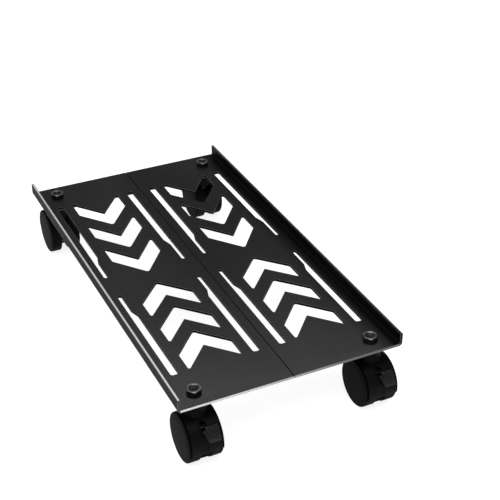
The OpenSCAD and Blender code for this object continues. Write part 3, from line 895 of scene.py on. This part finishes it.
def make_neck():
    """Neck around the stem, flared onto the hood with a moulded fillet."""
    n = 72
    rings = []

    def surf(y, r):
        return AX_Z + math.sqrt(max(1.0, r * r - (y + TRAIL) ** 2))

    spec = []
    for k in range(7):
        f = k * math.pi / 12
        spec.append(("f", 1 - math.sin(f), 1 - math.cos(f)))
    bm = bmesh.new()
    cap_rings = []
    ang = [TAU * k / n for k in range(n)]

    def flare(th):
        y = 12.5 * math.sin(th)
        return 2.6 * (1 - smooth01((y - 2.5) / 4.5))

    for frac in (0.25, 0.5, 0.75):
        cap_rings.append([(12.4 * frac * math.cos(t), 12.4 * frac * math.sin(t), surf(12.4 * frac * math.sin(t), HOOD_IN + 0.25)) for t in ang])
    low = []
    for t in ang:
        r = 12.5 + flare(t) * 0.98
        low.append((r * math.cos(t), r * math.sin(t), surf(r * math.sin(t), HOOD_IN + 0.25)))
    body = [low]
    for _, a, b in spec:
        ring = []
        for t in ang:
            fl = flare(t)
            r = 12.5 + fl * a
            ring.append((r * math.cos(t), r * math.sin(t), surf(r * math.sin(t), HOOD_OUT - 0.2) + max(fl, 0.35) * b))
        body.append(ring)
    z_sh = NECK_TOP - 9.0
    for r, z in ((12.5, z_sh - 0.9), (12.42, z_sh - 0.2), (12.15, z_sh + 0.6), (11.6, z_sh + 2.2), (11.0, z_sh + 4.0), (10.3, z_sh + 6.2), (9.75, z_sh + 8.2), (9.5, z_sh + 8.75), (9.1, z_sh + 9.0), (7.0, z_sh + 9.0), (3.0, z_sh + 9.0)):
        body.append([(r * math.cos(t), r * math.sin(t), z) for t in ang])
    vs = [[bm.verts.new(p) for p in ring] for ring in cap_rings + body]
    strip(bm, vs)
    fan(bm, vs[0], (0, 0, surf(0, HOOD_IN + 0.25)))
    fan(bm, vs[-1], (0, 0, NECK_TOP))
    return finish_mesh(bm, "neck", [M_HOOD], None)


def rod(name, r, x0, x1, y, z, n=48, axis="X"):
    """A plain cutter cylinder."""
    bm = bmesh.new()
    rings = []
    for x in (x0, x1):
        if axis == "X":
            rings.append([bm.verts.new((x, y + r * math.cos(TAU * k / n), z + r * math.sin(TAU * k / n))) for k in range(n)])
        else:
            rings.append([bm.verts.new((y + r * math.cos(TAU * k / n), z + r * math.sin(TAU * k / n), x)) for k in range(n)])
    strip(bm, rings, cap=(True, True))
    return finish_mesh(bm, name, [M_HOOD], None)


def arch_path(half, a0, a1, radius, k=10):
    """Outline of the brake window, in (x, angle): square foot, arched top."""
    deg = math.degrees(1.0 / radius)
    pts = [(-half, a0 + 0.8 * deg), (-half, a1 - half * deg)]
    pts += [(-half * math.cos(math.pi * q / k / 1.0), a1 - half * deg + half * deg * math.sin(math.pi * q / k)) for q in range(1, k)]
    pts += [(half, a1 - half * deg), (half, a0 + 0.8 * deg), (half - 0.8, a0), (-half + 0.8, a0)]
    return pts


def make_window_cutter():
    bm = bmesh.new()
    out = densify(arch_path(3.6, 40.0, 63.5, HOOD_OUT), 1.6)
    if math.dist(out[0], out[-1]) < 1e-6:
        out = out[:-1]
    rings = [[bm.verts.new(hood_point(x, r, a)) for x, a in out] for r in (20.5, 27.0, 34.5)]
    strip(bm, rings)
    for ring, r in ((rings[0], 20.5), (rings[-1], 34.5)):
        fan(bm, ring, hood_point(0, r, 51.0))
    return finish_mesh(bm, "window", [M_HOOD], None)


def make_arch_rim():
    """A small raised bead over the window's arched top."""
    deg = math.degrees(1.0 / HOOD_OUT)
    half, a1 = 4.35, 64.4
    path = [(-half, 49.0)] + [(-half, 49.0 + (a1 - half * deg - 49.0) * q / 5) for q in range(1, 6)]
    path += [(-half * math.cos(math.pi * q / 16), a1 - half * deg + half * deg * math.sin(math.pi * q / 16)) for q in range(1, 16)]
    path += [(half, a1 - half * deg + (49.0 - a1 + half * deg) * q / 5) for q in range(6)]
    n = len(path)
    bm = bmesh.new()
    rings = []
    for k, (x, a) in enumerate(path):
        p = Vector(path[max(0, k - 1)])
        q = Vector(path[min(n - 1, k + 1)])
        t = Vector(((q - p).x, (q - p).y / deg)).normalized()
        side = Vector((-t.y, t.x))
        taper = min(1.0, 0.25 + k / 4, 0.25 + (n - 1 - k) / 4)
        ring = []
        for j in range(10):
            f = TAU * j / 10
            w, h = 0.62 * taper * math.cos(f), 0.42 * taper * math.sin(f)
            ring.append(bm.verts.new(hood_point(x + side.x * w, hood_radius(0, 70, True) - 0.03 + h, a + side.y * w * deg)))
        rings.append(ring)
    strip(bm, rings, cap=(True, True))
    return finish_mesh(bm, "arch", [M_HOOD], None)


def make_housing(braked):
    ob = make_hood(braked)
    boolean(ob, make_web(), "UNION")
    boolean(ob, make_neck(), "UNION")
    if braked:
        boolean(ob, make_arch_rim(), "UNION")
        boolean(ob, make_window_cutter(), "DIFFERENCE")
    boolean(ob, rod("socket", 4.56, SHANK_LOW - 0.8, NECK_TOP + 2, 0, 0, 64, "Z"), "DIFFERENCE")
    boolean(ob, rod("axle_hole", 3.03, -9, 9, -TRAIL, AX_Z, 64), "DIFFERENCE")
    if braked:
        x, y, z = hood_point(0, 26.5, 50.0)
        boolean(ob, rod("pin_hole", 1.23, -WEB - 1.2, WEB + 1.2, y, z, 32), "DIFFERENCE")
    ob = tidy(ob, "housing_braked" if braked else "housing_plain", smooth=30.0)
    ob.data.materials.append(M_HOOD_SHADE)
    for f in ob.data.polygons:
        u = abs(f.center.x)
        r = math.hypot(f.center.y + TRAIL, f.center.z - AX_Z)
        # painted shade: near-black on the hood's side borders, for the shadow gap beside the wheels, and on the web's
        # foot between the wheels
        border = (u > HOOD_HALF - 0.35 and abs(f.normal.x) > 0.6) or (u > HOOD_HALF - 1.72 and r > HOOD_IN + 0.3)
        foot = u < WEB + 0.1 and r > 24.0 and f.center.z < AX_Z - 6.0
        if border or foot:
            f.material_index = len(ob.data.materials) - 1
    return ob


sources = {True: make_housing(True), False: make_housing(False)}
for c, corner in CORNERS.items():
    ob = place(copy_of(sources[corner[1] < 0], c + "_caster_housing"), corner)
    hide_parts(c + "_housing")
    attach(ob, c + "_swivel")
for ob in sources.values():
    bpy.data.objects.remove(ob)


# ------------------------------------------------------------------ brake pedal
def make_pedal():
    """Ribbed plate over the right half of the hood, with an arm and a barrel."""
    r0, r1 = HOOD_OUT + 0.9, HOOD_OUT + 3.0
    a0, a1 = 16.0, 48.0
    x1 = 15.0
    deg = math.degrees(1.0 / 32.0)
    nu, nv = 56, 84

    def left(a):
        z = 32.0 * math.sin(math.radians(a))
        x = max(-3.4, -3.4 + (21.4 - z) * math.tan(math.radians(22.5)))
        return x + (1.2 + 3.4) * smooth01((a - 41.2) / 1.6)

    def ribs(x, a, xl):
        inside = smooth01((x - max(xl + 2.2, 3.4)) / 0.8) * (1 - smooth01((x - x1 + 2.2) / 0.8))
        h = 0.0
        for c in (20.5, 25.7, 30.9, 36.1, 41.3):
            h = max(h, math.exp(-(((a - c) * 32 * math.pi / 180) / 0.62) ** 4))
        boss = math.exp(-(((a - 45.3) * 32 * math.pi / 180) / 1.15) ** 4)
        boss *= smooth01((x - xl - 0.8) / 0.8) * (1 - smooth01((x - 9.0) / 1.6))
        return 0.62 * h * inside + 0.95 * boss

    bm = bmesh.new()
    rho = 0.55
    top, bot = [], []
    for j in range(nv + 1):
        v = j / nv
        a = a0 + (a1 - a0) * v
        xl = left(a)
        rt, rb = [], []
        for i in range(nu + 1):
            u = i / nu
            x = xl + (x1 - xl) * u
            d = min(x - xl, x1 - x, (a - a0) / deg, (a1 - a) / deg)
            e = max(0.0, 1 - d / rho)
            drop = rho * (1 - math.sqrt(max(0.0, 1 - e * e)))
            # soft corners in plan
            r = r1 - drop + ribs(x, a, xl) - 0.25 * ((x - 7) / 8) ** 2 * 0.4
            rt.append(bm.verts.new(hood_point(x, r, a)))
            rb.append(bm.verts.new(hood_point(x, r0, a)))
        top.append(rt)
        bot.append(rb)
    for j in range(nv):
        for i in range(nu):
            bm.faces.new((top[j][i], top[j][i + 1], top[j + 1][i + 1], top[j + 1][i]))
            bm.faces.new((bot[j][i], bot[j + 1][i], bot[j + 1][i + 1], bot[j][i + 1]))
    for j in range(nv):
        bm.faces.new((top[j][0], top[j + 1][0], bot[j + 1][0], bot[j][0]))
        bm.faces.new((top[j][nu], bot[j][nu], bot[j + 1][nu], top[j + 1][nu]))
    for i in range(nu):
        bm.faces.new((top[0][i], bot[0][i], bot[0][i + 1], top[0][i + 1]))
        bm.faces.new((top[nv][i], top[nv][i + 1], bot[nv][i + 1], bot[nv][i]))
    plate = finish_mesh(bm, "plate", [M_PEDAL], None)

    # arm and barrel as one rounded profile, extruded along X
    pin = 26.5
    prof = []
    bar = 2.3
    for k in range(15):  # around the barrel's inner side
        f = math.radians(250 - k * 320 / 14)
        prof.append((pin + bar * math.cos(f), 50.0 + math.degrees(bar * math.sin(f) / pin)))
    outline = []
    for k in range(19):
        f = math.radians(40 + k * 280 / 18)
        outline.append((pin + bar * math.cos(f), 50.0 + math.degrees(bar * math.sin(f) / pin)))
    outline += [(29.4, 44.6), (r1 - 0.6, 44.2), (r1 - 0.25, 44.9), (r1 - 0.2, 46.0), (r1 - 0.5, 47.2), (30.2, 48.6)]
    bm = bmesh.new()
    rings = []
    c = Vector((sum(p[0] for p in outline) / len(outline), sum(p[1] for p in outline) / len(outline)))
    for x, s in ((0.6, 0.93), (0.72, 0.98), (0.95, 1.0), (2.95, 1.0), (3.18, 0.98), (3.3, 0.93)):
        rings.append([bm.verts.new(hood_point(x, c.x + (r - c.x) * s, c.y + (a - c.y) * s)) for r, a in outline])
    strip(bm, rings, cap=(True, True))
    bmesh.ops.triangulate(bm, faces=[f for f in bm.faces if len(f.verts) > 4])
    arm = finish_mesh(bm, "arm", [M_PEDAL], None)
    boolean(plate, arm, "UNION")
    x, y, z = hood_point(0, pin, 50.0)
    boolean(plate, rod("pin_bore", 1.25, -1, 6, y, z, 32), "DIFFERENCE")
    return tidy(plate, "pedal_source", smooth=30.0)


pedal_src = make_pedal()
for c in ("fl", "fr"):
    ob = place(copy_of(pedal_src, c + "_ribbed_pedal"), CORNERS[c])
    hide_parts(c + "_brake_pedal")
    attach(ob, c + "_pedal")
bpy.data.objects.remove(pedal_src)

# ------------------------------------------------------------------ carried-over CAD nodes
for n, o in NODES.items():
    if o.hide_render:
        continue
    o.data.materials.clear()
    o.data.materials.append(M_PIN if n.endswith("_pin") else M_STEEL)
    w = o.modifiers.new("weld", "WELD")
    w.merge_threshold = 2e-6
    b = o.modifiers.new("edges", "BEVEL")
    b.width = 0.00012
    b.segments = 2
    b.limit_method = "ANGLE"
    b.angle_limit = math.radians(35)
    o.modifiers.new("normals", "WEIGHTED_NORMAL").keep_sharp = True

# ------------------------------------------------------------------ floor and light
me = bpy.data.meshes.new("floor")
s = 30.0
me.from_pydata([(-s, -s, 0), (s, -s, 0), (s, s, 0), (-s, s, 0)], [], [(0, 1, 2, 3)])
floor = bpy.data.objects.new("floor", me)
scene.collection.objects.link(floor)
fm = Mat("floor_white")
tone = fm.remap(fm.noise(1.3, 2, 0.5), 0.3, 0.7, 0.0, 1.0)
fm.set("Base Color", fm.mix(tone, (0.40, 0.40, 0.40), (0.42, 0.42, 0.42)))
fm.set("Roughness", 0.75)
fm.set("Specular IOR Level", 0.2)
fm.set("Emission Color", (1.0, 1.0, 1.0))
fm.set("Emission Strength", 0.84)
me.materials.append(fm.m)

world = bpy.data.worlds.new("studio")
world.use_nodes = True
wt = world.node_tree
wt.nodes.clear()
wo = wt.nodes.new("ShaderNodeOutputWorld")
bg = wt.nodes.new("ShaderNodeBackground")
tc = wt.nodes.new("ShaderNodeTexCoord")
sep = wt.nodes.new("ShaderNodeSeparateXYZ")
ramp = wt.nodes.new("ShaderNodeValToRGB")
wt.links.new(tc.outputs["Generated"], sep.inputs[0])
wt.links.new(sep.outputs[2], ramp.inputs[0])
ramp.color_ramp.elements[0].position = 0.0
ramp.color_ramp.elements[0].color = (0.95, 0.95, 0.95, 1)
e = ramp.color_ramp.elements.new(0.14)
e.color = (0.70, 0.70, 0.70, 1)
e = ramp.color_ramp.elements[len(ramp.color_ramp.elements) - 1]
e.position = 0.42
e.color = (0.11, 0.11, 0.11, 1)
e = ramp.color_ramp.elements.new(0.62)
e.color = (0.16, 0.16, 0.16, 1)
e = ramp.color_ramp.elements.new(0.9)
e.color = (0.55, 0.55, 0.55, 1)
wt.links.new(ramp.outputs[0], bg.inputs[0])
bg.inputs[1].default_value = 1.0
wt.links.new(bg.outputs[0], wo.inputs[0])
scene.world = world


def area(name, loc, target, size, power, size_y=None):
    d = bpy.data.lights.new(name, "AREA")
    d.shape = "RECTANGLE" if size_y else "SQUARE"
    d.size = size
    if size_y:
        d.size_y = size_y
    d.energy = power
    o = bpy.data.objects.new(name, d)
    o.location = loc
    o.rotation_euler = (Vector(target) - Vector(loc)).to_track_quat("-Z", "Y").to_euler()
    scene.collection.objects.link(o)
    return o


area("overhead_softbox", (-0.5, -0.9, 2.3), (0, 0, 0), 2.4, 52.0)
area("rear_softbox", (0.78, 1.27, 2.07), (0, -0.2, 0.08), 1.6, 8.0, 0.85)
area("left_softbox", (-2.2, 0.9, 0.9), (0, 0, 0.05), 1.2, 9.0, 0.9)

scene.view_settings.view_transform = "Standard"
scene.view_settings.look = "None"
scene.view_settings.exposure = 0.0
scene.view_settings.gamma = 1.0
